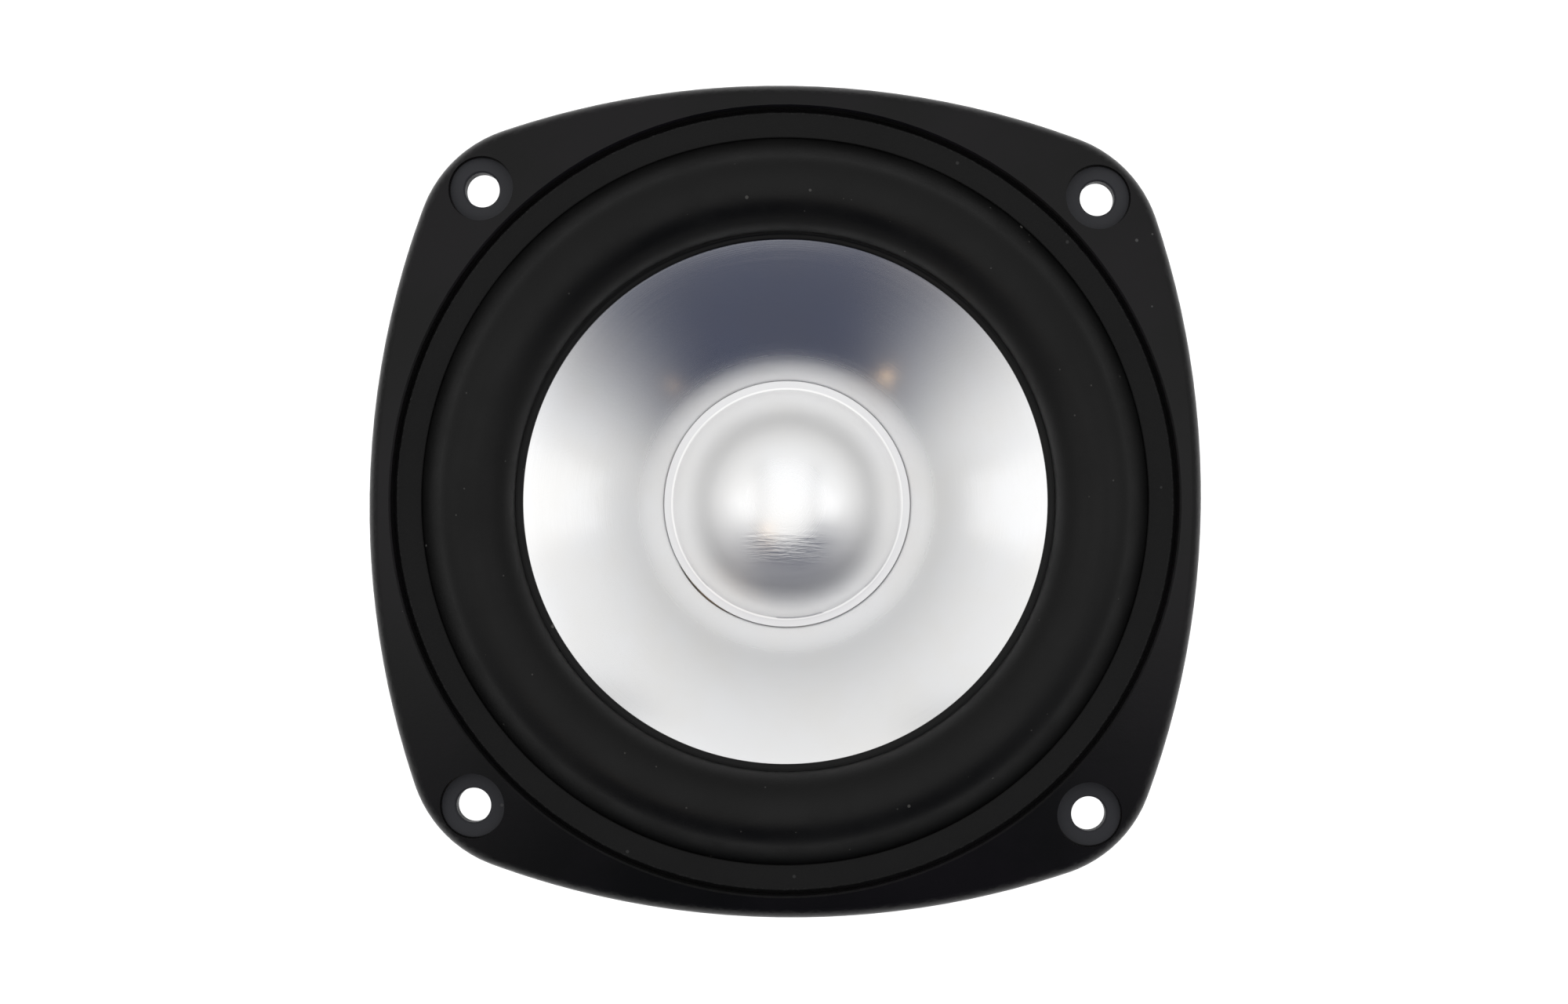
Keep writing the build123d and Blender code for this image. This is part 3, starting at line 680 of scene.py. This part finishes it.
def coneMiddle(offset):
    chord = Vector((coneEdge - neckRadius, coneHigh.z - neckTop))
    across = Vector((-chord.y, chord.x)).normalized()
    return tuple(Vector((neckRadius, neckTop)) + chord / 2 + across * (coneShape["flare"] - offset))


def buildCone():
    skin = coneShape["thickness"]
    front = arcThrough((neckRadius, neckTop), coneMiddle(0), (coneEdge, coneHigh.z), 72)
    outerBack, innerBack = (coneEdge, coneHigh.z - skin), (neckRadius + skin, neckTop - skin)
    back = arcThrough(outerBack, coneMiddle(skin), innerBack, 48)
    profile = front + [(coneHigh.x, coneHigh.z), (coneHigh.x, coneHigh.z - skin)]
    profile += back + [(neckRadius + skin, coneLow.z), (neckRadius, coneLow.z)]
    piece = finishMesh("coneDiaphragm", spinMesh(profile), 0.7)
    dress(piece, looks["cone_metal"])
    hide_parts("cone")
    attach(piece, movingBody)


def buildCap():
    low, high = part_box("dust_cap")
    shape = dict(
        brim=1.35 * mm,
        skin=0.3 * mm,
        ridge=0.02 * mm,
        edge=0.08 * mm,
        creasePlace=(4.5 * mm, -7.5 * mm),
        creaseSize=(4.5 * mm, 2.2 * mm),
        creaseDepth=0.02 * mm,
        dents=0.012 * mm,
    )
    base = high.x - shape["brim"]
    brimTop = low.z + shape["skin"]
    rise = high.z - brimTop
    radius = (base * base + rise * rise) / (2 * rise)
    centre = high.z - radius
    edge = math.asin(base / radius)
    dome = []
    for index in range(61):
        angle = edge * 0.985 * index / 60
        dome.append((radius * math.sin(angle), centre + radius * math.cos(angle)))
    ridgeTop = brimTop + shape["ridge"]
    ridge = [(base + 0.04 * mm, ridgeTop), (base + 0.16 * mm, ridgeTop), (base + 0.24 * mm, brimTop)]
    brim = [(high.x - shape["edge"], brimTop), (high.x, brimTop - shape["edge"])]
    under = [(high.x, low.z + 0.05 * mm), (high.x - 0.05 * mm, low.z), (base - shape["skin"], low.z)]
    inside = [(r * 0.982, z - shape["skin"]) for r, z in dome[::-1]]
    made = spinMesh(dome + ridge + brim + under + inside)

    def pressed(co):
        # faint creases low on the dome, on the side nearest the terminals
        if co.z < brimTop + 0.2 * mm:
            return co
        x, y = co.x - shape["creasePlace"][0], co.y - shape["creasePlace"][1]
        wide, tall = shape["creaseSize"]
        near = math.exp(-(x * x) / (2 * wide ** 2) - (y * y) / (2 * tall ** 2))
        crease = noise.noise(Vector((co.x * 90, co.y * 620, 3.1))) * shape["creaseDepth"]
        soft = noise.noise(Vector((co.x, co.y, 0)) * 85) * shape["dents"]
        return co + Vector((0, 0, crease * near + soft - shape["dents"]))

    moveVerts(made, pressed)
    piece = finishMesh("dustCapDome", made, 0.7)
    dress(piece, looks["cap_metal"])
    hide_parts("dust_cap")
    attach(piece, movingBody)


def buildBead():
    shape = dict(
        gap=0.3 * mm,
        corner=0.1 * mm,
        swell=0.42 * mm,
        swellAngle=-2.3,  # where most of the glue was squeezed out
        swellArc=0.45,
        ripple=0.05 * mm,
    )
    low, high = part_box("dust_cap_adhesive")
    inner = neckRadius + shape["gap"]
    profile = [(inner, low.z), (high.x, high.z - 0.05 * mm), (high.x, high.z), (inner, high.z)]
    made = spinMesh(roundCorners(profile, shape["corner"], 2), 320)

    def squeezed(co):
        radius = math.hypot(co.x, co.y)
        if radius < inner + shape["gap"]:
            return co
        angle = math.atan2(co.y, co.x)
        nearby = math.exp(-((angle - shape["swellAngle"]) / shape["swellArc"]) ** 2)
        swell = nearby * shape["swell"]
        swell += noise.noise(Vector((co.x, co.y, 0)) * 500) * shape["ripple"]
        share = (radius - inner) / (high.x - inner)
        grow = 1 + max(swell, 0) * share / radius
        return Vector((co.x * grow, co.y * grow, co.z + max(swell, 0) * share * 0.55))

    moveVerts(made, squeezed)
    piece = finishMesh("capBead", made, 0.9)
    dress(piece, looks["adhesive"])
    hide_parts("dust_cap_adhesive")
    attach(piece, movingBody)


buildCone()
buildCap()
buildBead()


print("stage: leads")
leadShape = dict(diameter=1.6 * mm, sides=20)
leadRoute = [
    (0.0086, -0.014896, -0.0142),
    (0.0108, -0.018706, -0.0142),
    (0.0118, -0.0260, -0.0106),
    (0.0116, -0.0345, -0.0098),
    (0.0100, -0.0406, -0.0136),
    (0.0100, -0.0448, -0.0136),
]


def routeLine(points):
    # the smooth line of a NURBS spline that has the route's points as its control points
    curve = bpy.data.curves.new("routeCurve", "CURVE")
    curve.dimensions = "3D"
    curve.resolution_u = 12
    spline = curve.splines.new("NURBS")
    spline.points.add(len(points) - 1)
    for point, place in zip(spline.points, points):
        point.co = (*place, 1)
    spline.order_u = 3
    spline.use_endpoint_u = True
    holder = bpy.data.objects.new("routeHolder", curve)
    bpy.context.scene.collection.objects.link(holder)
    line = bpy.data.meshes.new_from_object(holder)
    found = [vert.co.copy() for vert in line.vertices]
    bpy.data.objects.remove(holder)
    bpy.data.meshes.remove(line)
    return found


def buildLead(side, name, node):
    line = routeLine([(side * x, y, z) for x, y, z in leadRoute])
    made = bmesh.new()
    layer = made.loops.layers.uv.new("UVMap")
    radius = leadShape["diameter"] / 2
    sides = leadShape["sides"]
    rings, along = [], [0.0]
    for index, point in enumerate(line):
        ahead, behind = line[min(index + 1, len(line) - 1)], line[max(index - 1, 0)]
        direction = (ahead - behind).normalized()
        across = direction.cross(Vector((0, 0, 1))).normalized()
        up = across.cross(direction).normalized()
        ring = []
        for turn in range(sides):
            angle = 2 * math.pi * turn / sides
            outwards = across * math.cos(angle) + up * math.sin(angle)
            ring.append(made.verts.new(point + outwards * radius))
        rings.append(ring)
        if index:
            along.append(along[-1] + (point - line[index - 1]).length)
    for index, (here, there) in enumerate(zip(rings, rings[1:])):
        for turn in range(sides):
            nextTurn = (turn + 1) % sides
            face = made.faces.new((here[turn], here[nextTurn], there[nextTurn], there[turn]))
            corners = ((turn, index), (turn + 1, index), (turn + 1, index + 1), (turn, index + 1))
            for loop, (u, v) in zip(face.loops, corners):
                loop[layer].uv = (u / sides, along[v] / (4 * radius))
    made.faces.new(rings[0][::-1])
    made.faces.new(rings[-1])
    piece = finishMesh(name, made, 0.9)
    dress(piece, looks["lead_braid"])
    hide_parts(node)
    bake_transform(piece)


buildLead(1, "leadPositive", "lead_positive")
buildLead(-1, "leadNegative", "lead_negative")


print("stage: studio")
studio = dict(floorSize=0.8, domeRadius=1.1, floorGlow=0.95)
sky = dict(
    base=0.61,
    rise=0.31,  # brighter with height
    sides=0.08,
    overhead=0.2,
    gaps=0.34,
    lobes=0.16,
    strip=0.8,
    horizon=0.35,
    dark=(0.078, 0.086, 0.125, 1),
)
floorHeight = startBounds[0][2]


def buildFloor():
    made = bmesh.new()
    bmesh.ops.create_circle(made, cap_ends=True, segments=96, radius=studio["floorSize"])
    for vert in made.verts:
        vert.co.z = floorHeight
    piece = finishMesh("studioFloor", made)
    shader = Shader("floorWhite", Specular_IOR_Level=0.1, Roughness=0.8)
    shader.surface.inputs["Emission Strength"].default_value = studio["floorGlow"]
    tone = shader.mix(shader.noise(6.0, 2.0), grey(0.30), grey(0.32))
    glow = shader.mix(shader.noise(5.0, 2.0), grey(0.985), grey(1.0))
    piece.data.materials.append(shader.wear(Base_Color=tone, Emission_Color=glow))


def buildDome():
    made = bmesh.new()
    bmesh.ops.create_uvsphere(made, u_segments=64, v_segments=32, radius=studio["domeRadius"])
    piece = finishMesh("studioDome", made)
    shader = Shader("domeGlow", Base_Color=(0, 0, 0, 1), Specular_IOR_Level=0.0, Roughness=1.0)
    shader.surface.inputs["Emission Strength"].default_value = 1.0
    x, y, z = [part / studio["domeRadius"] for part in shader.parts()]
    flat = shader.maths("SQRT", x * x + y * y + 0.0001)
    toFront = (x * 0.07 - y) / flat
    across = shader.maths("ABSOLUTE", x)
    height = shader.spread(z, 0.25, 0.78)
    sideways = shader.spread(across, 0.25, 0.8)
    # overhead, a dark gap and a bright lobe on either side of the middle strip
    gaps = shader.spread(across, 0.27, 0.36) * shader.spread(across, 0.46, 0.38)
    gaps = gaps * shader.spread(z, 0.68, 0.8)
    lobes = shader.spread(across, 0.40, 0.48) * shader.spread(across, 0.72, 0.58)
    lobes = lobes * shader.spread(z, 0.77, 0.86)
    strip = shader.spread(across, 0.18, 0.08) * shader.spread(z, 0.81, 0.89)
    level = sky["base"] + height * sky["rise"] + sideways * height * sky["sides"]
    level = level + shader.spread(z, 0.72, 0.92) * sky["overhead"]
    level = level - gaps * sky["gaps"] + lobes * sky["lobes"]
    # pale down at the horizon, so that the floor runs out into it
    level = level + shader.spread(z, 0.2, 0.06) * sky["horizon"]
    # a dark front, open overhead and at the horizon
    dark = shader.spread(toFront, 0.17, 0.95) * shader.spread(z, 0.935, 0.815)
    dark = dark * (1 - strip * sky["strip"]) * shader.spread(z, 0.12, 0.27)
    bright = shader.make("CombineColor", None, {0: level, 1: level, 2: level})
    tone = shader.mix(dark, bright, sky["dark"])
    piece.data.materials.append(shader.wear(Emission_Color=tone))


def buildLights():
    # three soft boxes, left, above and right, and two small warm lamps in front
    white, warm = (1, 1, 1), (1, 0.66, 0.34)
    boxes = (
        ("softLeft", (-0.62, 0.02, 0.56), (0.22, 0.32), 0.2, white),
        ("softAbove", (0.0, -0.05, 0.95), (0.42, 0.40), 0.06, white),
        ("softRight", (0.60, 0.02, 0.60), (0.22, 0.32), 0.2, white),
        ("lampLeft", (-0.50, -0.60, 0.375), (0.05, 0.06), 1.5, warm),
        ("lampMiddle", (-0.25, -0.35, 0.85), (0.045, 0.055), 7.5, warm),
        ("lampRight", (0.55, -0.55, 0.42), (0.05, 0.06), 0.35, warm),
    )
    for name, place, size, radiance, tint in boxes:
        light = bpy.data.lights.new(name, "AREA")
        light.shape = "RECTANGLE"
        light.size, light.size_y = size
        light.color = tint
        light.energy = radiance * math.pi * size[0] * size[1]
        holder = bpy.data.objects.new(name, light)
        holder.location = place
        holder.rotation_euler = Vector(place).to_track_quat("Z", "Y").to_euler()
        bpy.context.scene.collection.objects.link(holder)


def buildCamera():
    view = dict(distance=0.36, width=0.2251, offset=(0.008, -0.010), roll=math.radians(0.8))
    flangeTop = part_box("basket")[1].z
    lens = bpy.data.cameras.new("studioCamera")
    lens.sensor_width = 36.0
    lens.lens = 36.0 * view["distance"] / view["width"]
    lens.shift_x = -view["offset"][0] / view["width"]
    lens.shift_y = -view["offset"][1] / view["width"]
    lens.clip_start = 0.01
    holder = bpy.data.objects.new("studioCamera", lens)
    holder.location = (*view["offset"], flangeTop + view["distance"])
    holder.rotation_euler = (0, 0, view["roll"])
    bpy.context.scene.collection.objects.link(holder)
    bpy.context.scene.camera = holder


buildFloor()
buildDome()
buildLights()
buildCamera()
world = bpy.data.worlds.new("studioWorld")
world.use_nodes = True
world.node_tree.nodes["Background"].inputs[0].default_value = (0, 0, 0, 1)
bpy.context.scene.world = world
bpy.context.scene.view_settings.view_transform = "Standard"
